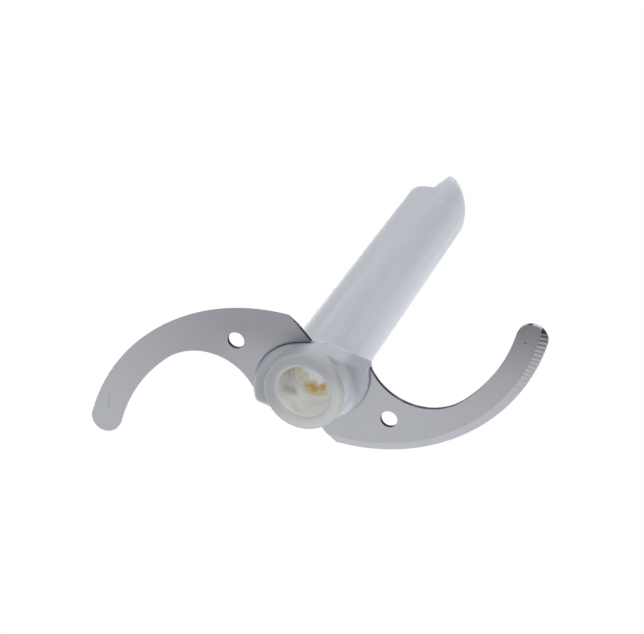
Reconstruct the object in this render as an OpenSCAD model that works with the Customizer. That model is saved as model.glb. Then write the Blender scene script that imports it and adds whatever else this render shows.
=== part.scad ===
// Chopping blade of a food processor: two sickle blades set in the hub of a tall hollow stem.
// The stem stands on its collar, with its axis on +Z and the two blade holes on the X axis.

/* [Blades] */
// Thickness of the steel sheet
sheet_t = 1.5; // [1:0.1:2.5]
// Height of the blades' underside above the foot of the collar
blade_z = 10; // [8:0.5:14]
// Radius of the curved cutting edge
edge_r = 65.7; // [60:0.5:75]
// Width of the curved arm
arm_w = 10.6; // [8:0.2:14]
// Distance from the stem axis to the centre of the cutting edge's curve
edge_drop = 45.5; // [43:0.5:48]
// Sideways distance from the stem axis to the same centre
edge_side = 0.3; // [-2:0.1:2]
// Angle that the arm runs past the centre of its curve
tip_angle = 6; // [0:1:12]
// Radius of the hook between the arm and the root
hook_r = 20.7; // [17:0.1:23]
// Direction of the hook's centre, seen from the centre of the cutting edge's curve
hook_angle = 28.3; // [24:0.1:32]
// Slope of the straight back edge of the root
root_angle = 27.5; // [20:0.5:35]
// Distance from the stem axis to the line of that back edge
root_offset = 8.9; // [7:0.1:10]
// Direction of the root's lower edge
root_low_angle = -41; // [-43:1:-36]
// Radius of the hole in each blade
hole_r = 3; // [2:0.1:4]
// Distance from the stem axis to each hole
hole_x = 29; // [26:0.5:33]

/* [Cutting edge] */
// Width of the ground bevel
bevel_w = 3; // [2:0.1:4]
// Thickness left at the sharp edge
edge_t = 0.15; // [0.1:0.05:0.4]
// Number of fine grooves across the bevel near the tip
groove_count = 14; // [6:1:16]
// Distance between two grooves along the edge
groove_pitch = 1.7; // [1.2:0.05:2]
// Angle of the first groove past the centre of the rounded tip
groove_start = 2.2; // [0:0.1:3]
// Radius of one groove
groove_r = 0.55; // [0.3:0.05:0.6]
// Depth of one groove
groove_depth = 0.22; // [0.2:0.01:0.25]

/* [Hub] */
// Outer radius of the collar
collar_r = 13.8; // [13.2:0.1:14.5]
// Radius of the socket in the collar
socket_r = 9.2; // [8.8:0.1:9.8]
// Depth of the socket
socket_depth = 13; // [12:0.5:16]
// Size of the chamfer round the socket's mouth
mouth_chamfer = 0.7; // [0.3:0.1:1.2]
// Rounding of the collar's outer foot edge
foot_round = 0.8; // [0.3:0.1:1.5]
// Radius of each lobe that holds a blade root
lobe_r = 17.8; // [17:0.1:18.5]
// Sideways distance from the stem axis to the lobe's centre
lobe_x = 0.6; // [0:0.1:1.5]
// Distance from the stem axis to the lobe's centre, towards the hook
lobe_y = 5.2; // [4:0.1:6]
// Height of the lobe below the blade
lobe_below = 5; // [4:0.1:6]
// Height of the lobe above the blade
lobe_above = 3.3; // [3:0.1:6]
// Rounding of the lobe's upper rim
lobe_round = 2; // [1:0.1:3]
// Rounding of the lobe's underside
under_round = 4; // [2:0.1:4.5]
// Rounding of the long edges of the lobe's straight flank
flank_round = 1.2; // [0.5:0.1:2]
// Angle between the flank and the line through the holes
flank_turn = 4; // [0:0.5:5]
// Radius of the blend between the collar and the lobes
collar_blend = 2; // [1:0.1:3]
// Radius at which the blade roots end inside the hub
root_r = 10.8; // [10.5:0.1:11.5]

/* [Stem] */
// Outer radius of the stem just above the lobes
stem_base_r = 13; // [12:0.1:13.5]
// Outer radius of the stem at its top
stem_top_r = 12.1; // [11.5:0.1:13]
// Height of the notches where the claw's ramps start
claw_z = 153.5; // [100:0.5:180]
// Wall thickness of the hollow stem
stem_wall = 2.4; // [1.8:0.1:3]
// Thickness of the web that closes the hollow above the bush
web_t = 3; // [2:0.5:5]
// Radius of the blend between the lobes and the stem
stem_blend = 1.2; // [0.8:0.1:2]

/* [Claw] */
// Height of each claw tooth above the notches
tooth_h = 13.5; // [8:0.1:15]
// Width of the narrow land on each peak
tooth_land = 0.8; // [0.3:0.1:1.5]
// Radius of the hollow curve of the first ramp
hollow_r = 28; // [22:1:40]
// Radius of the bulging curve of the other ramp
bulge_r = 32; // [31:1:50]
// Lean of each steep driving flank
flank_lean = 9.5; // [4:0.5:15]
// Direction of the first driving flank
claw_angle = 72.5; // [60:0.5:90]

/* [Drive bush] */
// Outer radius of the bush
bush_r = 7.2; // [6.8:0.1:8.6]
// Length of the bush
bush_len = 6.5; // [5:0.5:24]
// Radius of the bush's bore between the flutes
bore_r = 5.2; // [4.5:0.1:5.4]
// Number of flutes in the bore
flute_count = 10; // [6:1:12]
// Radius of one flute
flute_r = 1; // [0.7:0.1:1.2]
// Clearance between the bush and its seat
bush_fit = 0.02; // [0:0.01:0.05]

/* [Hidden] */
$fn = 96;
eps = 0.01;
blend_sink = 0.06;
blend_back = 0.6;
reach = 2 * edge_r;
tip_r = arm_w / 2;
inner_r = edge_r - arm_w;
edge_centre = [edge_side, -edge_drop];
hook_centre = edge_centre + (inner_r - hook_r) * [cos(hook_angle), sin(hook_angle)];
tip_centre = edge_centre + (edge_r - tip_r) * [cos(tip_angle), -sin(tip_angle)];
root_dir = [cos(root_angle), sin(root_angle)];
root_foot = root_offset * [-sin(root_angle), cos(root_angle)];
bevel_h = sheet_t - edge_t;
bevel_slope = atan(bevel_h / bevel_w);
bevel_len = sqrt(bevel_w * bevel_w + bevel_h * bevel_h);
bevel_overrun = 8;
arm_lap = 2;
groove_step = groove_pitch / edge_r * 180 / PI;
lobe_z0 = blade_z - lobe_below;
lobe_z1 = blade_z + sheet_t + lobe_above;
web_z = socket_depth + bush_len;
peak_z = claw_z + tooth_h;
stem_draft = (stem_base_r - stem_top_r) / (claw_z - lobe_z1);
ramp_foot = [-stem_top_r, 0];
ramp_top = [stem_top_r - tooth_land, tooth_h];
ramp_along = (ramp_top - ramp_foot) / norm(ramp_top - ramp_foot);
ramp_normal = [-ramp_along.y, ramp_along.x];

// Outer radius of the drafted stem at height z
function stem_r(z) = stem_base_r - stem_draft * (z - lobe_z1);

// Centre of a ramp's curve of radius r, above the ramp (side 1) or below it (side -1)
function ramp_centre(r, side) =
  (ramp_foot + ramp_top) / 2
  + side * sqrt(r * r - pow(norm(ramp_top - ramp_foot) / 2, 2)) * ramp_normal;

// Square corner outside a quarter circle, for rounding or blending a profile
module corner(r) {
  difference() {
    square(r + eps);
    circle(r);
  }
}

// The same corner made fuller, so that a blend runs well into both surfaces it joins
module blend_wedge(r) {
  difference() {
    square(r + blend_back);
    circle(r);
  }
}

// Curved arm of a blade, from its tip to the hook
module arm_outline() {
  intersection() {
    translate(edge_centre) difference() {
      circle(edge_r);
      circle(inner_r);
    }
    translate(edge_centre) polygon([
      [0, 0],
      reach * [cos(tip_angle), -sin(tip_angle)],
      reach * [cos(hook_angle + arm_lap), sin(hook_angle + arm_lap)]
    ]);
  }
  translate(tip_centre) circle(tip_r);
}

// Broad root of a blade, from the hook to the hub
module root_outline() {
  difference() {
    intersection() {
      translate(edge_centre) circle(edge_r);
      polygon([
        hook_centre,
        edge_centre + reach * [cos(hook_angle), sin(hook_angle)],
        root_foot + reach * root_dir,
        root_foot,
        [0, 0],
        (hole_x - hole_r) * [cos(root_low_angle), sin(root_low_angle)]
      ]);
    }
    translate(hook_centre) circle(hook_r);
    circle(root_r);
  }
}

// Uncut sheet of one blade, which is also the shape of its seat in the hub
module blade_blank() {
  linear_extrude(sheet_t) {
    arm_outline();
    root_outline();
  }
}

// What the grinding wheel takes off under the cutting edge, with its fine grooves
module edge_grinding() {
  translate([edge_centre.x, edge_centre.y, 0]) {
    rotate([0, 0, -tip_angle - bevel_overrun])
      rotate_extrude(angle = 90 + tip_angle + bevel_overrun, $fn = 360)
        polygon([
          [edge_r - bevel_w, -1],
          [edge_r - bevel_w, 0],
          [edge_r, bevel_h],
          [edge_r + 1, bevel_h],
          [edge_r + 1, -1]
        ]);
    for (i = [0 : groove_count - 1])
      rotate([0, 0, i * groove_step - tip_angle - groove_start])
        translate([edge_r - bevel_w, 0, 0])
          rotate([0, 90 - bevel_slope, 0])
            translate([groove_r - groove_depth, 0, -1])
              cylinder(r = groove_r, h = bevel_len + 2, $fn = 24);
  }
}

// One blade with its bevel on the underside
module ground_blade() {
  difference() {
    blade_blank();
    translate([hole_x, 0, -1]) cylinder(r = hole_r, h = sheet_t + 2);
    edge_grinding();
  }
}

// One blade with its bevel on the upper side
module turned_ground_blade() {
  difference() {
    blade_blank();
    translate([hole_x, 0, -1]) cylinder(r = hole_r, h = sheet_t + 2);
    translate([0, 0, sheet_t]) mirror([0, 0, 1]) edge_grinding();
  }
}

// Side view of a slab as thick as a lobe, with rounded edges, that ends at the flank
module flank_profile() {
  difference() {
    translate([-collar_r, lobe_z0]) square([3 * collar_r, lobe_z1 - lobe_z0]);
    translate([flank_round - collar_r, lobe_z1 - flank_round]) mirror([1, 0]) corner(flank_round);
    translate([flank_round - collar_r, lobe_z0 + flank_round])
      mirror([1, 0]) mirror([0, 1]) corner(flank_round);
  }
}

// One lobe of the hub: a rounded puck with a straight flank that runs into the collar
module lobe() {
  intersection() {
    translate([lobe_x, -lobe_y, 0]) rotate_extrude() difference() {
      translate([0, lobe_z0]) square([lobe_r, lobe_z1 - lobe_z0]);
      translate([lobe_r - lobe_round, lobe_z1 - lobe_round]) corner(lobe_round);
      translate([lobe_r - under_round, lobe_z0 + under_round]) mirror([0, 1]) corner(under_round);
    }
    rotate([90, 0, 90 - flank_turn]) linear_extrude(2 * collar_r) flank_profile();
  }
}

// Blends between the collar, the lobes and the stem, kept to the lobes' footprint
module lobe_blends() {
  intersection() {
    rotate_extrude() {
      translate([collar_r + collar_blend - blend_sink, lobe_z0 - collar_blend + blend_sink])
        mirror([1, 0]) blend_wedge(collar_blend);
      translate([stem_r(lobe_z1) + stem_blend - blend_sink, lobe_z1 + stem_blend - blend_sink])
        mirror([1, 0]) mirror([0, 1]) blend_wedge(stem_blend);
    }
    for (turn = [0, 180]) rotate([0, 0, turn])
      intersection() {
        translate([lobe_x, -lobe_y, 0]) cylinder(r = lobe_r - under_round, h = 2 * lobe_z1);
        rotate([0, 0, -flank_turn])
          translate([0, flank_round - collar_r, 0]) cube([2 * collar_r, 2 * collar_r, 2 * lobe_z1]);
      }
  }
}

// Collar, hollow stem and web as one turned profile
module stem_tube() {
  rotate_extrude() difference() {
    polygon([
      [0, 0],
      [collar_r, 0],
      [collar_r, blade_z + sheet_t],
      [stem_base_r, lobe_z1],
      [stem_r(peak_z), peak_z],
      [0, peak_z]
    ]);
    translate([collar_r - foot_round, foot_round]) mirror([0, 1]) corner(foot_round);
    polygon([[-1, -1], [socket_r + mouth_chamfer + 1, -1], [socket_r, mouth_chamfer], [-1, mouth_chamfer]]);
    translate([-1, 0]) square([socket_r + 1, socket_depth]);
    translate([-1, 0]) square([bush_r + bush_fit + 1, web_z]);
    polygon([
      [-1, web_z + web_t],
      [stem_r(web_z + web_t) - stem_wall, web_z + web_t],
      [stem_r(peak_z) - stem_wall, peak_z + 1],
      [-1, peak_z + 1]
    ]);
  }
}

// Half of what is cut from the top of the tube: the outline given, and the lean of a driving flank
module claw_gap(turn) {
  rotate([0, 0, claw_angle + turn]) translate([0, 0, claw_z]) {
    translate([0, collar_r, 0]) rotate([90, 0, 0]) linear_extrude(collar_r) children();
    rotate([90, 0, 90]) linear_extrude(collar_r)
      polygon([[0, 0], [(tooth_h + 1) * tan(flank_lean), tooth_h + 1], [0, tooth_h + 1]]);
  }
}

// Both halves, which leave a hollow ramp and a bulging one, each with a steep driving flank
module claw_gaps() {
  claw_gap(0) intersection() {
    translate(ramp_centre(hollow_r, 1)) circle(hollow_r, $fn = 180);
    translate([-collar_r, -1]) square([2 * collar_r, tooth_h + 2]);
  }
  claw_gap(180) difference() {
    translate([-collar_r, 0]) square([2 * collar_r, tooth_h + 1]);
    translate(ramp_centre(bulge_r, -1)) circle(bulge_r, $fn = 180);
  }
}

module stem() {
  color([0.78, 0.81, 0.86]) difference() {
    union() {
      stem_tube();
      difference() {
        union() {
          for (turn = [0, 180]) rotate([0, 0, turn]) lobe();
          lobe_blends();
        }
        translate([0, 0, -1]) cylinder(r = root_r, h = lobe_z1 + stem_blend + 2);
      }
    }
    claw_gaps();
    for (turn = [0, 180]) rotate([0, 0, turn])
      translate([0, 0, blade_z]) blade_blank();
  }
}

module bevel_up_blade() {
  color([0.62, 0.64, 0.67]) translate([0, 0, blade_z]) turned_ground_blade();
}

module bevel_down_blade() {
  color([0.7, 0.72, 0.75]) rotate([0, 0, 180]) translate([0, 0, blade_z]) ground_blade();
}

module drive_bush() {
  color([0.8, 0.55, 0.12]) translate([0, 0, socket_depth]) linear_extrude(bush_len) difference() {
    circle(bush_r);
    circle(bore_r);
    for (i = [0 : flute_count - 1])
      rotate(i * 360 / flute_count) translate([bore_r, 0]) circle(flute_r);
  }
}

stem();
bevel_up_blade();
bevel_down_blade();
drive_bush();
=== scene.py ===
import math
import bpy
from mathutils import Matrix, Vector

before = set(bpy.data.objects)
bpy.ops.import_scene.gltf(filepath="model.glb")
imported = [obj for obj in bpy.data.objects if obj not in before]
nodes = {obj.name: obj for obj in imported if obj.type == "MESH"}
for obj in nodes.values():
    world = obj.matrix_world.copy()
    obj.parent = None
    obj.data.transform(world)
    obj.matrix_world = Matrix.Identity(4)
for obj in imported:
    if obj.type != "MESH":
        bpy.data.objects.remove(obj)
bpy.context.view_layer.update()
print("frame loaded:", ", ".join(sorted(nodes)))

# In each function below, s is the dictionary with the values of the piece.
# Lengths inside the materials are millimetres and angles are degrees, unless a note says otherwise.


# Camera, as the photo sees the part: from below, with the stem running away up to the right
viewpoint = {
    "target": (0.00547, 0.02349, 0.010),  # metres, where the middle of the picture meets the blades
    "distance": 0.99889,
    "azimuth": 101.54,  # direction of the camera round the stem
    "elevation": -59.07,
    "roll": 37.09,
    "lens": 168.27,
    "sensor": 36.0,
    "farthest": 20.0,
}


def makeCamera(s):
    azimuth, elevation = math.radians(s["azimuth"]), math.radians(s["elevation"])
    level = math.cos(elevation)
    away = Vector((level * math.cos(azimuth), level * math.sin(azimuth), math.sin(elevation)))
    data = bpy.data.cameras.new("photoCamera")
    data.lens = s["lens"]
    data.sensor_width = s["sensor"]
    data.clip_end = s["farthest"]
    cam = bpy.data.objects.new("photoCamera", data)
    bpy.context.collection.objects.link(cam)
    turn = away.to_track_quat("Z", "Y").to_matrix().to_4x4()
    roll = Matrix.Rotation(math.radians(s["roll"]), 4, "Z")
    cam.matrix_world = Matrix.Translation(Vector(s["target"]) + away * s["distance"]) @ turn @ roll
    bpy.context.scene.camera = cam


makeCamera(viewpoint)
bpy.context.scene.view_settings.view_transform = "Standard"
print("camera set")


# Small helpers for node trees: each returns the output socket that the next step uses
def addNode(tree, kind, **values):
    node = tree.nodes.new(kind)
    for key, value in values.items():
        setattr(node, key, value)
    return node


def feed(tree, socket, value):
    # a socket is linked, a plain value is written into the socket
    if isinstance(value, bpy.types.NodeSocket):
        tree.links.new(value, socket)
    elif value is not None:
        socket.default_value = value


def math2(tree, operation, a, b=None, clamp=False):
    node = addNode(tree, "ShaderNodeMath", operation=operation, use_clamp=clamp)
    feed(tree, node.inputs[0], a)
    feed(tree, node.inputs[1], b)
    return node.outputs[0]


def times(tree, a, b):
    return math2(tree, "MULTIPLY", a, b)


def remap(tree, value, low, high, toLow=0.0, toHigh=1.0, smooth=True):
    node = addNode(tree, "ShaderNodeMapRange")
    node.interpolation_type = "SMOOTHSTEP" if smooth else "LINEAR"
    feed(tree, node.inputs["Value"], value)
    feed(tree, node.inputs["From Min"], low)
    feed(tree, node.inputs["From Max"], high)
    feed(tree, node.inputs["To Min"], toLow)
    feed(tree, node.inputs["To Max"], toHigh)
    return node.outputs["Result"]


def mixColor(tree, mask, a, b):
    node = addNode(tree, "ShaderNodeMix", data_type="RGBA")
    feed(tree, node.inputs[0], mask)
    feed(tree, node.inputs[6], a)
    feed(tree, node.inputs[7], b)
    return node.outputs[2]


def mixValue(tree, mask, a, b):
    node = addNode(tree, "ShaderNodeMix", data_type="FLOAT")
    feed(tree, node.inputs[0], mask)
    feed(tree, node.inputs[2], a)
    feed(tree, node.inputs[3], b)
    return node.outputs[0]


def toneRamp(tree, value, tones, tint):
    # tones is a list of (place, brightness), from the lowest place to the highest
    low, high = tones[0][0], tones[-1][0]
    ramp = addNode(tree, "ShaderNodeValToRGB")
    stops = ramp.color_ramp.elements
    while len(stops) < len(tones):
        stops.new(0.5)
    for stop, (at, tone) in zip(stops, tones):
        stop.position = (at - low) / (high - low)
        stop.color = (tone * tint[0], tone * tint[1], tone * tint[2], 1.0)
    feed(tree, ramp.inputs["Fac"], remap(tree, value, low, high, smooth=False))
    return ramp.outputs["Color"]


def scaled(tree, vector, factor):
    node = addNode(tree, "ShaderNodeVectorMath", operation="SCALE")
    feed(tree, node.inputs[0], vector)
    feed(tree, node.inputs["Scale"], factor)
    return node.outputs[0]


def millimetres(tree):
    # place on the part in millimetres, in the part's own frame
    coord = addNode(tree, "ShaderNodeTexCoord")
    return scaled(tree, coord.outputs["Object"], 1000.0)


def splitAxes(tree, vector):
    node = addNode(tree, "ShaderNodeSeparateXYZ")
    feed(tree, node.inputs[0], vector)
    return node.outputs["X"], node.outputs["Y"], node.outputs["Z"]


def joinAxes(tree, x, y, z=None):
    node = addNode(tree, "ShaderNodeCombineXYZ")
    feed(tree, node.inputs["X"], x)
    feed(tree, node.inputs["Y"], y)
    feed(tree, node.inputs["Z"], z)
    return node.outputs[0]


def distance(tree, x, y):
    return math2(tree, "SQRT", math2(tree, "ADD", times(tree, x, x), times(tree, y, y)))


def across(tree, x, y, way):
    # how far a place lies in the given direction
    return math2(tree, "ADD", times(tree, x, way[0]), times(tree, y, way[1]))


def noiseAt(tree, place, scale, detail=2.0, rough=0.5):
    node = addNode(tree, "ShaderNodeTexNoise")
    feed(tree, node.inputs["Vector"], place)
    feed(tree, node.inputs["Scale"], scale)
    node.inputs["Detail"].default_value = detail
    node.inputs["Roughness"].default_value = rough
    return node.outputs["Fac"]


def newGroup(name, ins, outs):
    group = bpy.data.node_groups.new(name, "ShaderNodeTree")
    for label, kind, value in ins:
        socket = group.interface.new_socket(label, in_out="INPUT", socket_type="NodeSocket" + kind)
        socket.default_value = value
    for label, kind in outs:
        group.interface.new_socket(label, in_out="OUTPUT", socket_type="NodeSocket" + kind)
    source = addNode(group, "NodeGroupInput")
    sink = addNode(group, "NodeGroupOutput")
    return group, source.outputs, sink.inputs


def useGroup(tree, group, values):
    node = addNode(tree, "ShaderNodeGroup", node_tree=group)
    for key, value in values.items():
        feed(tree, node.inputs[key], value)
    return node.outputs


# Shared effects
effects = {
    "fineShare": 0.7,  # the part of the grain that is fine, the rest is coarse
    "coarseShare": 0.3,
    "coarseScale": 0.31,
    "smudgeFrom": (0.56, 0.72),  # the cloudy noise counts as a smudge between these values
    "wearFrom": (0.03, 0.25),  # the same for a turned edge
    "breakFrom": (0.35, 0.65),
    "breakGain": (0.4, 1.6),
    "bevelSamples": 6,
}


def makeGrain(s):
    # fine skin of a surface: a height for bump and a speckle for colour, 1 on average
    group, given, result = newGroup(
        "fineGrain",
        [("Size", "Float", 0.3), ("Amount", "Float", 0.05)],
        [("Height", "Float"), ("Speckle", "Float")],
    )
    place = millimetres(group)
    density = math2(group, "DIVIDE", 1.0, given["Size"])
    fine = noiseAt(group, place, density, 3.0, 0.6)
    coarse = noiseAt(group, place, times(group, density, s["coarseScale"]))
    height = math2(
        group, "ADD", times(group, fine, s["fineShare"]), times(group, coarse, s["coarseShare"]))
    centred = math2(group, "SUBTRACT", height, 0.5)
    feed(group, result["Height"], height)
    feed(group, result["Speckle"], math2(group, "ADD", times(group, centred, given["Amount"]), 1.0))
    return group


def makeSmudge(s):
    # broad uneven marks left by handling and washing, 1 on average
    group, given, result = newGroup(
        "handlingSmudge",
        [("Size", "Float", 14.0), ("Amount", "Float", 0.1)],
        [("Factor", "Float"), ("Mask", "Float")],
    )
    density = math2(group, "DIVIDE", 1.0, given["Size"])
    cloud = noiseAt(group, millimetres(group), density, 4.0, 0.55)
    centred = math2(group, "SUBTRACT", cloud, 0.5)
    feed(group, result["Factor"], math2(group, "ADD", times(group, centred, given["Amount"]), 1.0))
    feed(group, result["Mask"], remap(group, cloud, *s["smudgeFrom"]))
    return group


def makeEdgeWear(s):
    # 1 on sharp outer edges, broken up by noise, and a normal that rounds them; Width is in metres
    group, given, result = newGroup(
        "edgeWear",
        [("Width", "Float", 0.0004), ("Break", "Float", 0.8)],
        [("Mask", "Float"), ("Normal", "Vector")],
    )
    soft = addNode(group, "ShaderNodeBevel", samples=s["bevelSamples"])
    feed(group, soft.inputs["Radius"], given["Width"])
    flat = addNode(group, "ShaderNodeNewGeometry")
    dot = addNode(group, "ShaderNodeVectorMath", operation="DOT_PRODUCT")
    feed(group, dot.inputs[0], soft.outputs["Normal"])
    feed(group, dot.inputs[1], flat.outputs["True Normal"])
    turned = math2(group, "SUBTRACT", 1.0, dot.outputs["Value"])
    breakUp = noiseAt(group, millimetres(group), given["Break"], 3.0)
    broken = times(group, turned, remap(group, breakUp, *s["breakFrom"], *s["breakGain"]))
    feed(group, result["Mask"], remap(group, broken, *s["wearFrom"]))
    feed(group, result["Normal"], soft.outputs["Normal"])
    return group


def makeMark():
    # a soft spot or stroke: 1 on the line between two places, 0 from the given width on
    group, given, result = newGroup(
        "softMark",
        [("Place", "Vector", (0.0, 0.0, 0.0)), ("From", "Vector", (0.0, 0.0, 0.0)),
         ("To", "Vector", (0.0, 0.0, 0.0)), ("Width", "Float", 0.2)],
        [("Mask", "Float")],
    )

    def vector(operation, a, b):
        node = addNode(group, "ShaderNodeVectorMath", operation=operation)
        feed(group, node.inputs[0], a)
        feed(group, node.inputs[1], b)
        return node.outputs

    along = vector("SUBTRACT", given["To"], given["From"])[0]
    offset = vector("SUBTRACT", given["Place"], given["From"])[0]
    reached = vector("DOT_PRODUCT", offset, along)["Value"]
    length = vector("DOT_PRODUCT", along, along)["Value"]
    nearest = scaled(group, along, math2(group, "DIVIDE", reached, length, clamp=True))
    away = vector("DISTANCE", offset, nearest)["Value"]
    feed(group, result["Mask"], remap(group, away, given["Width"], 0.0))
    return group


def makeWall():
    # 1 on walls that stand upright in the part, such as the sheared sides of the sheet
    group, given, result = newGroup(
        "uprightWall", [("Limit", "Float", 0.4)], [("Wall", "Float"), ("Up", "Float")])
    geometry = addNode(group, "ShaderNodeNewGeometry")
    up = splitAxes(group, geometry.outputs["True Normal"])[2]
    feed(group, result["Wall"], math2(group, "LESS_THAN", math2(group, "ABSOLUTE", up), given["Limit"]))
    feed(group, result["Up"], up)
    return group


def makeBladePlace():
    # Place is turned onto the blade at +X. Angle and Radius run round the centre of its cutting edge,
    # Unrolled holds those two for small marks, and Hub and Lobe are the distances from those centres.
    group, given, result = newGroup(
        "bladePlace",
        [("Turn", "Float", 1.0), ("Centre X", "Float", 0.0), ("Centre Y", "Float", 0.0),
         ("Lobe X", "Float", 0.0), ("Lobe Y", "Float", 0.0)],
        [("Angle", "Float"), ("Radius", "Float"), ("Hub", "Float"), ("Lobe", "Float"),
         ("Place", "Vector"), ("Unrolled", "Vector")],
    )
    x, y, z = splitAxes(group, millimetres(group))
    x = times(group, x, given["Turn"])
    y = times(group, y, given["Turn"])
    edgeX = math2(group, "SUBTRACT", x, given["Centre X"])
    edgeY = math2(group, "SUBTRACT", y, given["Centre Y"])
    lobeX = math2(group, "SUBTRACT", x, given["Lobe X"])
    lobeY = math2(group, "SUBTRACT", y, given["Lobe Y"])
    angle = times(group, math2(group, "ARCTAN2", edgeY, edgeX), math.degrees(1.0))
    radius = distance(group, edgeX, edgeY)
    feed(group, result["Angle"], angle)
    feed(group, result["Radius"], radius)
    feed(group, result["Hub"], distance(group, x, y))
    feed(group, result["Lobe"], distance(group, lobeX, lobeY))
    feed(group, result["Place"], joinAxes(group, x, y, z))
    feed(group, result["Unrolled"], joinAxes(group, angle, radius))
    return group


grainGroup = makeGrain(effects)
smudgeGroup = makeSmudge(effects)
wearGroup = makeEdgeWear(effects)
markGroup = makeMark()
wallGroup = makeWall()
placeGroup = makeBladePlace()
print("shared effects built")


# Steps that every finish shares
def newMaterial(name, s):
    material = bpy.data.materials.new(name)
    material.use_nodes = True
    tree = material.node_tree
    tree.nodes.clear()
    shader = addNode(tree, "ShaderNodeBsdfPrincipled")
    out = addNode(tree, "ShaderNodeOutputMaterial")
    tree.links.new(shader.outputs["BSDF"], out.inputs["Surface"])
    skin = {
        "wear": useGroup(tree, wearGroup, {"Width": s["edge"], "Break": s["edgeBreak"]}),
        "grain": useGroup(tree, grainGroup, {"Size": s["grainSize"], "Amount": s["grainAmount"]}),
        "smudge": useGroup(tree, smudgeGroup, {"Size": s["smudgeSize"], "Amount": s["smudgeAmount"]}),
    }
    return material, tree, shader.inputs, skin


def markOn(tree, place, mark, amount=None):
    # mark is (from, to, width), in the units of place
    values = {"Place": place, "From": mark[0], "To": mark[1], "Width": mark[2]}
    mask = useGroup(tree, markGroup, values)["Mask"]
    return mask if amount is None else times(tree, mask, amount)


def rubEdges(tree, skin, s, color):
    return mixColor(tree, times(tree, skin["wear"]["Mask"], s["rubbed"]), color, s["rubbedColor"])


def finish(tree, shader, skin, s, color, rough):
    grain, smudge, wear = skin["grain"], skin["smudge"], skin["wear"]
    factor = times(tree, grain["Speckle"], smudge["Factor"])
    feed(tree, shader["Base Color"], scaled(tree, color, factor))
    feed(tree, shader["Roughness"], mixValue(tree, smudge["Mask"], rough, s["smudgedRoughness"]))
    bump = addNode(tree, "ShaderNodeBump")
    bump.inputs["Strength"].default_value = s["bumpStrength"]
    bump.inputs["Distance"].default_value = s["bumpDepth"] / 1000.0
    feed(tree, bump.inputs["Height"], grain["Height"])
    feed(tree, bump.inputs["Normal"], wear["Normal"])
    feed(tree, shader["Normal"], bump.outputs["Normal"])


def letLightIn(shader, s):
    shader["Emission Strength"].default_value = 1.0
    shader["Subsurface Weight"].default_value = s["scatter"]
    shader["Subsurface Radius"].default_value = s["scatterTint"]
    shader["Subsurface Scale"].default_value = s["scatterReach"]


def putOn(obj, material):
    for slot in obj.material_slots:
        slot.material = material


# Studio: white all round, a pale floor that is only seen from above, and soft boxes; in metres
studio = {
    "backdrop": (1.0, 1.0, 1.0, 1.0),
    "fillAbove": 0.72,  # light on the part from above and from the sides
    "fillBelow": 0.60,  # light on the part from below
    "fillBlend": (-0.6, 0.6),
    "floorSize": 1.2,
    "floorGap": 0.0002,
    "floorColor": (0.88, 0.88, 0.89, 1.0),
    "floorClear": (0.13, 0.52),  # the floor fades into the white backdrop between these distances
}


def makeWorld(s):
    world = bpy.data.worlds.new("studioWorld")
    bpy.context.scene.world = world
    world.use_nodes = True
    tree = world.node_tree
    tree.nodes.clear()
    path = addNode(tree, "ShaderNodeLightPath")
    seen = math2(tree, "MAXIMUM", path.outputs["Is Camera Ray"], path.outputs["Is Glossy Ray"])
    seen = math2(tree, "MAXIMUM", seen, path.outputs["Is Transmission Ray"])
    coord = addNode(tree, "ShaderNodeTexCoord")
    up = splitAxes(tree, coord.outputs["Generated"])[2]
    fill = remap(tree, up, *s["fillBlend"], s["fillBelow"], s["fillAbove"])
    background = addNode(tree, "ShaderNodeBackground")
    background.inputs["Color"].default_value = s["backdrop"]
    feed(tree, background.inputs["Strength"], mixValue(tree, seen, fill, 1.0))
    out = addNode(tree, "ShaderNodeOutputWorld")
    tree.links.new(background.outputs[0], out.inputs["Surface"])


def floorMaterial(s):
    # shows to the camera only, from above and near the part
    material = bpy.data.materials.new("paleFloor")
    material.use_nodes = True
    tree = material.node_tree
    tree.nodes.clear()
    path = addNode(tree, "ShaderNodeLightPath")
    side = addNode(tree, "ShaderNodeNewGeometry")
    front = math2(tree, "SUBTRACT", 1.0, side.outputs["Backfacing"])
    seen = times(tree, path.outputs["Is Camera Ray"], front)
    coord = addNode(tree, "ShaderNodeTexCoord")
    far = addNode(tree, "ShaderNodeVectorMath", operation="LENGTH")
    feed(tree, far.inputs[0], coord.outputs["Object"])
    seen = times(tree, seen, remap(tree, far.outputs["Value"], *s["floorClear"], 1.0, 0.0))
    clear = addNode(tree, "ShaderNodeBsdfTransparent")
    pale = addNode(tree, "ShaderNodeBsdfDiffuse")
    pale.inputs["Color"].default_value = s["floorColor"]
    mix = addNode(tree, "ShaderNodeMixShader")
    feed(tree, mix.inputs["Fac"], seen)
    tree.links.new(clear.outputs[0], mix.inputs[1])
    tree.links.new(pale.outputs[0], mix.inputs[2])
    out = addNode(tree, "ShaderNodeOutputMaterial")
    tree.links.new(mix.outputs[0], out.inputs["Surface"])
    return material


def makeFloor(s):
    half = s["floorSize"] / 2
    corners = [(-half, -half), (half, -half), (half, half), (-half, half)]
    mesh = bpy.data.meshes.new("floor")
    mesh.from_pydata([(x, y, -s["floorGap"]) for x, y in corners], [], [(0, 1, 2, 3)])
    mesh.materials.append(floorMaterial(s))
    floor = bpy.data.objects.new("floor", mesh)
    bpy.context.collection.objects.link(floor)


softBoxes = {
    "aim": (0.0, 0.0, 0.06),
    "boxes": {
        "keyBox": {"at": (-0.92, -0.26, -0.24), "size": 0.7, "power": 4.6, "glossy": False},
        "backBox": {"at": (0.35, -0.70, 0.75), "size": 0.8, "power": 1.8, "glossy": True},
        "topBox": {"at": (0.30, 0.55, 0.90), "size": 0.8, "power": 1.2, "glossy": True},
    },
}


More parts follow.
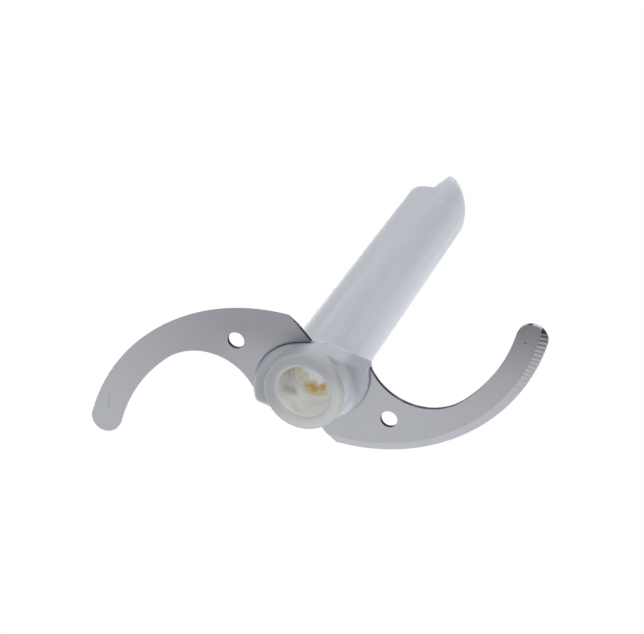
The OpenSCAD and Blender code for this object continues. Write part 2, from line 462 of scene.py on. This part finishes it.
def makeLights(s):
    for name, box in s["boxes"].items():
        data = bpy.data.lights.new(name, "AREA")
        data.size = box["size"]
        data.energy = box["power"]
        lamp = bpy.data.objects.new(name, data)
        lamp.location = box["at"]
        lamp.rotation_euler = (Vector(box["at"]) - Vector(s["aim"])).to_track_quat("Z", "Y").to_euler()
        lamp.visible_glossy = box["glossy"]
        bpy.context.collection.objects.link(lamp)


makeWorld(studio)
makeFloor(studio)
makeLights(softBoxes)
print("studio set")


# Stem: milky moulded plastic that light passes through a little
milkyPlastic = {
    "color": (0.548, 0.588, 0.648, 1.0),
    # painted sheen: pale streaks along the stem
    "streakColor": (0.615, 0.655, 0.71, 1.0),
    "streakAmount": 0.8,
    "streakScale": 2.6,
    "streakDrift": 0.004,  # how fast a streak changes along the stem
    "streakFrom": (0.45, 0.68),
    "streakHeight": (16.0, 26.0),  # streaks start between these heights
    "topTone": 0.93,  # a little darker towards the claw
    "topHeight": (90.0, 165.0),
    "rubbedColor": (0.64, 0.66, 0.69, 1.0),
    "rubbed": 0.12,
    "hubShadeColor": (0.465, 0.480, 0.505, 1.0),  # painted shade: darker and more neutral round the foot
    "hubLitColor": (0.655, 0.668, 0.675, 1.0),
    "hubAcross": (-0.82, -0.57),  # the side of the foot where the painted light is palest
    "hubSide": (-5.5, 9.0),
    "hubHeight": (7.5, 1.0),
    "rimShade": 0.62,  # painted shade round the foot's outer edge
    "rimRadius": (12.3, 13.7),
    "rimHeight": (4.5, 1.0),
    "rimSide": (-6.0, 4.0),
    "lobeShade": (0.90, 0.70),
    "lobeAcross": (-0.97, 0.24),  # painted shade: the lobe on this side is darker than the other
    "lobeSide": (2.0, 15.0),
    "lobeRadius": (15.2, 17.4),
    "lobeHeight": (15.5, 12.0),
    # painted light: the socket's walls are paler than the stem, with painted shade towards one side
    "socketLitColor": (0.885, 0.895, 0.90),
    "socketShade": 0.54,
    "socketSide": (-8.0, 3.0),
    "socketRadius": 9.3,
    "socketTop": 20.0,
    "amberTingeColor": (0.70, 0.55, 0.26, 1.0),  # amber tinge beside the bush
    "amberTinge": ((2.2, -9.0, 5.9), (-0.4, -9.2, 3.2), 2.4),
    "amberTingeAmount": 0.28,
    "socketShadowColor": (0.29, 0.285, 0.28, 1.0),  # painted shadow: a dark stroke inside the socket
    "socketShadow": ((7.0, -5.9, 7.4), (4.4, -8.1, 11.2), 2.9),
    "socketShadowAmount": 0.6,
    "noGlow": (0.0, 0.0, 0.0, 1.0),
    "glow": (0.083, 0.082, 0.077, 1.0),  # painted glow standing for light that comes through the wall into the socket
    "glowHeight": (0.0, 10.0),
    "webGlow": (0.17, 0.20, 0.245, 1.0),  # painted glow standing for light through the web above the bush
    "webHeight": (16.0, 19.0),
    "scatter": 0.85,
    "scatterTint": (1.0, 1.0, 1.0),
    "scatterReach": 0.005,
    "roughness": 0.36,
    "smudgedRoughness": 0.45,
    "edge": 0.0014,
    "edgeBreak": 0.5,
    "grainSize": 0.5,
    "grainAmount": 0.05,
    "smudgeSize": 18.0,
    "smudgeAmount": 0.08,
    "bumpStrength": 0.25,
    "bumpDepth": 0.03,
}


def tubeColor(tree, s, x, y, z):
    # painted sheen: pale streaks run up the stem, set by the angle round it
    around = math2(tree, "ARCTAN2", y, x)
    ring = joinAxes(
        tree, math2(tree, "COSINE", around), math2(tree, "SINE", around), times(tree, z, s["streakDrift"]))
    streak = remap(tree, noiseAt(tree, ring, s["streakScale"]), *s["streakFrom"])
    streak = times(tree, streak, remap(tree, z, *s["streakHeight"]))
    color = mixColor(tree, times(tree, streak, s["streakAmount"]), s["color"], s["streakColor"])
    return scaled(tree, color, remap(tree, z, *s["topHeight"], 1.0, s["topTone"]))


def hubShadeColor(tree, s, x, y, z, color):
    # painted light and shade: the foot is paler on one side, darker round its rim, and the walls of the
    # lobes are darker too
    paleSide = across(tree, x, y, s["hubAcross"])
    radius = distance(tree, x, y)
    foot = mixColor(tree, remap(tree, paleSide, *s["hubSide"]), s["hubShadeColor"], s["hubLitColor"])
    rim = times(tree, remap(tree, radius, *s["rimRadius"]), remap(tree, z, *s["rimHeight"]))
    rim = times(tree, rim, remap(tree, paleSide, *s["rimSide"]))
    foot = scaled(tree, foot, mixValue(tree, rim, 1.0, s["rimShade"]))
    color = mixColor(tree, remap(tree, z, *s["hubHeight"]), color, foot)
    lobeSide = remap(tree, across(tree, x, y, s["lobeAcross"]), *s["lobeSide"])
    lobeTone = mixValue(tree, lobeSide, *s["lobeShade"])
    lobeTone = mixValue(tree, remap(tree, radius, *s["lobeRadius"]), 1.0, lobeTone)
    return scaled(tree, color, mixValue(tree, remap(tree, z, *s["lobeHeight"]), 1.0, lobeTone))


def socketLitColor(tree, s, x, y, place):
    # painted light inside the socket, with painted shade towards one side
    tone = remap(tree, across(tree, x, y, s["hubAcross"]), *s["socketSide"], s["socketShade"], 1.0)
    color = scaled(tree, s["socketLitColor"], tone)
    color = mixColor(tree, markOn(tree, place, s["amberTinge"], s["amberTingeAmount"]), color, s["amberTingeColor"])
    return mixColor(tree, markOn(tree, place, s["socketShadow"], s["socketShadowAmount"]), color, s["socketShadowColor"])


def dressStem(obj, s):
    material, tree, shader, skin = newMaterial("milkyPlastic", s)
    place = millimetres(tree)
    x, y, z = splitAxes(tree, place)
    color = hubShadeColor(tree, s, x, y, z, tubeColor(tree, s, x, y, z))
    color = rubEdges(tree, skin, s, color)
    inside = times(
        tree, math2(tree, "LESS_THAN", distance(tree, x, y), s["socketRadius"]),
        math2(tree, "LESS_THAN", z, s["socketTop"]))
    color = mixColor(tree, inside, color, socketLitColor(tree, s, x, y, place))
    finish(tree, shader, skin, s, color, s["roughness"])
    # painted glow inside the socket
    glow = mixColor(tree, remap(tree, z, *s["glowHeight"]), s["noGlow"], s["glow"])
    glow = mixColor(tree, remap(tree, z, *s["webHeight"]), glow, s["webGlow"])
    feed(tree, shader["Emission Color"], mixColor(tree, inside, s["noGlow"], glow))
    letLightIn(shader, s)
    putOn(obj, material)


dressStem(nodes["stem"], milkyPlastic)
print("stem dressed")


# Drive bush: amber plastic, deep amber on one side and a faint spot across from it, with a painted glow
amberPlastic = {
    "color": (0.72, 0.45, 0.085, 1.0),
    "paleColor": (0.80, 0.785, 0.71, 1.0),
    "amber": ((-3.0, -4.3, 15.5), (-1.0, -5.0, 15.0), 4.8),
    "faint": ((5.9, -0.9, 13.0), (5.7, 0.6, 13.0), 2.0),
    "faintAmount": 0.5,
    "cloudScale": 0.30,
    "cloudFrom": (0.35, 0.62),
    "cloudGain": (0.9, 1.3),
    "rubbedColor": (0.80, 0.785, 0.71, 1.0),
    "rubbed": 0.12,
    # painted glow: the bush gives off a little amber light, paler where the plastic is pale
    "glow": (0.072, 0.054, 0.016, 1.0),
    "paleGlow": (0.060, 0.059, 0.050, 1.0),
    "scatter": 0.6,
    "scatterTint": (1.0, 0.7, 0.3),
    "scatterReach": 0.003,
    "roughness": 0.32,
    "smudgedRoughness": 0.47,
    "edge": 0.0003,
    "edgeBreak": 0.9,
    "grainSize": 0.6,
    "grainAmount": 0.1,
    "smudgeSize": 5.0,
    "smudgeAmount": 0.2,
    "bumpStrength": 0.3,
    "bumpDepth": 0.03,
}


def dressBush(obj, s):
    material, tree, shader, skin = newMaterial("amberPlastic", s)
    place = millimetres(tree)
    faint = markOn(tree, place, s["faint"], s["faintAmount"])
    amber = math2(tree, "MAXIMUM", markOn(tree, place, s["amber"]), faint)
    cloud = remap(tree, noiseAt(tree, place, s["cloudScale"]), *s["cloudFrom"], *s["cloudGain"])
    amber = math2(tree, "MULTIPLY", amber, cloud, clamp=True)
    color = mixColor(tree, amber, s["paleColor"], s["color"])
    color = rubEdges(tree, skin, s, color)
    finish(tree, shader, skin, s, color, s["roughness"])
    # painted glow
    feed(tree, shader["Emission Color"], mixColor(tree, amber, s["paleGlow"], s["glow"]))
    letLightIn(shader, s)
    putOn(obj, material)


dressBush(nodes["drive_bush"], amberPlastic)
print("bush dressed")


# Blades: matt blasted sheet with a ground bevel, sheared walls and fine grooves at the tip; the brighter
# bevel, the tones of the flats and the dark walls are painted reflection
bladeSteel = {
    "edgeCentre": (0.3, -45.5),  # in the frame of the blade whose hole is on +X
    "bevelInner": 62.7,
    "tint": (1.005, 1.03, 1.108),
    "brightTones": [  # painted reflection on the bevel, by angle from the tip to the root
        (-12, 0.03), (-9.6, 0.06), (-8.75, 0.21), (-7.25, 0.30), (-4.25, 0.385), (0, 0.42), (6, 0.45),
        (14, 0.455), (28, 0.475), (40, 0.495), (78, 0.485)],
    # painted shading of the grooves, by the same angle
    "grooveTones": [
        (-12, 0.01), (-9.7, 0.02), (-8.2, 0.09), (-6.6, 0.15), (-5, 0.20), (-3.6, 0.26), (-2, 0.30),
        (0, 0.32), (1, 0.345), (3.7, 0.395), (8, 0.43), (12, 0.45), (14, 0.455)],
    "grooveFirst": -8.2,
    "groovePitch": 1.4825,
    "grooveLast": 12.0,
    "grooveSide": 0.35,  # softness of a groove's sides
    "lobeCentre": (0.6, -5.2),
    "lobeRadius": 17.8,
    "collarRadius": 13.8,
    # painted shadow where the sheet enters the hub
    "creviceGap": (0.55, 0.1),
    "creviceShadowColor": (0.03, 0.033, 0.038, 1.0),
    "rubbedColor": (0.60, 0.61, 0.63, 1.0),
    "rubbed": 0.3,
    "upright": 0.4,  # a face is a wall where it turns up or down by less than this
    # painted reflection: dark walls with paler patches
    "wallReflectionDark": (0.012, 0.012, 0.014, 1.0),
    "wallReflectionPale": (0.30, 0.31, 0.32, 1.0),
    "patchScale": 0.42,
    "patchFrom": (0.56, 0.66),
    # painted reflection on the wall of the inner curve
    "innerWallRadius": 55.4,
    "innerWallAmount": 0.75,
    "tipAngle": -7.5,
    "tipTones": [  # painted reflection round the end of the tip, by distance from the centre of the cutting edge
        (54, 0.25), (57.2, 0.34), (57.9, 0.01), (59.1, 0.01), (59.6, 0.38), (62.3, 0.42), (62.8, 0.01),
        (67, 0.01)],
    # painted shade inside the hole
    "hole": (29.0, 0.0, 10.75),
    "holeReach": 3.4,
    "holeShadeColor": (0.01, 0.01, 0.012, 1.0),
    "roughness": 0.40,
    "bevelRoughness": 0.30,
    "smudgedRoughness": 0.47,
    "edge": 0.00018,
    "edgeBreak": 1.2,
    "grainSize": 0.22,
    "grainAmount": 0.16,
    "smudgeSize": 16.0,
    "smudgeAmount": 0.05,
    "bumpStrength": 0.35,
    "bumpDepth": 0.02,
}
bevelUpBlade = {
    "name": "bladeSteelUp",
    "turn": 1.0,
    "bevelSide": 1.0,
    "tones": [  # painted reflection on the flat faces, by angle from the tip to the root
        (-12, 0.440), (0, 0.436), (10, 0.420), (20, 0.398), (30, 0.374), (40, 0.350), (50, 0.322),
        (60, 0.305), (78, 0.300)],
    "innerTone": 1.27,  # painted reflection: the hook side is this much brighter near the hub
    "innerRadius": (60.0, 46.0),
    "innerAngle": (40.0, 62.0),
    "mark": ((2.6, 62.2, 0.0), (-2.0, 60.6, 0.0), 0.3),  # a faint scratch near the tip
    "markColor": (0.33, 0.34, 0.36, 1.0),
    "innerWall": (0.40, 0.41, 0.43, 1.0),
    "creviceShadow": 0.85,
}
bevelDownBlade = {
    "name": "bladeSteelDown",
    "turn": -1.0,
    "bevelSide": -1.0,
    # painted reflection on the flat faces, by angle from the tip to the root
    "tones": [
        (-12, 0.190), (-7, 0.222), (-3, 0.262), (0, 0.292), (5, 0.328), (10, 0.360), (15, 0.380),
        (25, 0.400), (40, 0.423), (55, 0.436), (78, 0.442)],
    "innerTone": 0.93,
    "innerRadius": (60.0, 54.0),
    "innerAngle": (30.0, -5.0),
    "mark": ((-4.1, 58.95, 0.0), (-4.0, 58.75, 0.0), 0.5),  # a small dark pit near the tip
    "markColor": (0.10, 0.10, 0.105, 1.0),
    "innerWall": (0.03, 0.03, 0.033, 1.0),
    "creviceShadow": 0.45,
}


def flatColor(tree, s, at):
    # painted reflection across the flat faces
    inward = remap(tree, at["Radius"], *s["innerRadius"])
    near = remap(tree, at["Angle"], *s["innerAngle"])
    gain = mixValue(tree, times(tree, inward, near), 1.0, s["innerTone"])
    return scaled(tree, toneRamp(tree, at["Angle"], s["tones"], s["tint"]), gain)


def bevelColor(tree, s, at):
    # painted reflection on the bevel, with painted shading of the grooves
    bright = toneRamp(tree, at["Angle"], s["brightTones"], s["tint"])
    dark = toneRamp(tree, at["Angle"], s["grooveTones"], s["tint"])
    turns = math2(tree, "SUBTRACT", at["Angle"], s["grooveFirst"])
    turns = math2(tree, "DIVIDE", turns, s["groovePitch"])
    wave = math2(tree, "COSINE", times(tree, turns, 2 * math.pi))
    groove = remap(tree, wave, -s["grooveSide"], s["grooveSide"])
    groove = times(tree, groove, math2(tree, "LESS_THAN", at["Angle"], s["grooveLast"]))
    return mixColor(tree, groove, bright, dark)


def wallColor(tree, s, at):
    # painted reflection: sheared walls are dark with paler patches, and differ on the inner curve and at
    # the tip; painted shade in the hole
    patch = remap(tree, noiseAt(tree, at["Place"], s["patchScale"]), *s["patchFrom"])
    color = mixColor(tree, patch, s["wallReflectionDark"], s["wallReflectionPale"])
    inner = math2(tree, "LESS_THAN", at["Radius"], s["innerWallRadius"])
    color = mixColor(tree, times(tree, inner, s["innerWallAmount"]), color, s["innerWall"])
    tipTone = toneRamp(tree, at["Radius"], s["tipTones"], s["tint"])
    color = mixColor(tree, math2(tree, "LESS_THAN", at["Angle"], s["tipAngle"]), color, tipTone)
    fromHole = addNode(tree, "ShaderNodeVectorMath", operation="DISTANCE")
    feed(tree, fromHole.inputs[0], at["Place"])
    feed(tree, fromHole.inputs[1], s["hole"])
    inHole = math2(tree, "LESS_THAN", fromHole.outputs["Value"], s["holeReach"])
    return mixColor(tree, inHole, color, s["holeShadeColor"])


def creviceShadowMask(tree, s, at):
    # painted shadow: 1 where the sheet enters the hub
    lobeGap = math2(tree, "SUBTRACT", at["Lobe"], s["lobeRadius"])
    collarGap = math2(tree, "SUBTRACT", at["Hub"], s["collarRadius"])
    gap = math2(tree, "MINIMUM", lobeGap, collarGap)
    return times(tree, remap(tree, gap, *s["creviceGap"]), s["creviceShadow"])


def dressBlade(obj, shared, own):
    s = {**shared, **own}
    material, tree, shader, skin = newMaterial(s["name"], s)
    at = useGroup(tree, placeGroup, {
        "Turn": s["turn"],
        "Centre X": s["edgeCentre"][0],
        "Centre Y": s["edgeCentre"][1],
        "Lobe X": s["lobeCentre"][0],
        "Lobe Y": s["lobeCentre"][1],
    })
    wall = useGroup(tree, wallGroup, {"Limit": s["upright"]})
    facing = math2(tree, "GREATER_THAN", times(tree, wall["Up"], s["bevelSide"]), s["upright"])
    onBevel = times(tree, math2(tree, "GREATER_THAN", at["Radius"], s["bevelInner"]), facing)
    color = mixColor(tree, onBevel, flatColor(tree, s, at), bevelColor(tree, s, at))
    color = mixColor(tree, markOn(tree, at["Unrolled"], s["mark"]), color, s["markColor"])
    color = mixColor(tree, creviceShadowMask(tree, s, at), color, s["creviceShadowColor"])
    color = rubEdges(tree, skin, s, color)
    color = mixColor(tree, wall["Wall"], color, wallColor(tree, s, at))
    finish(tree, shader, skin, s, color, mixValue(tree, onBevel, s["roughness"], s["bevelRoughness"]))
    shader["Metallic"].default_value = 1.0
    putOn(obj, material)


dressBlade(nodes["bevel_up_blade"], bladeSteel, bevelUpBlade)
dressBlade(nodes["bevel_down_blade"], bladeSteel, bevelDownBlade)
print("blades dressed")
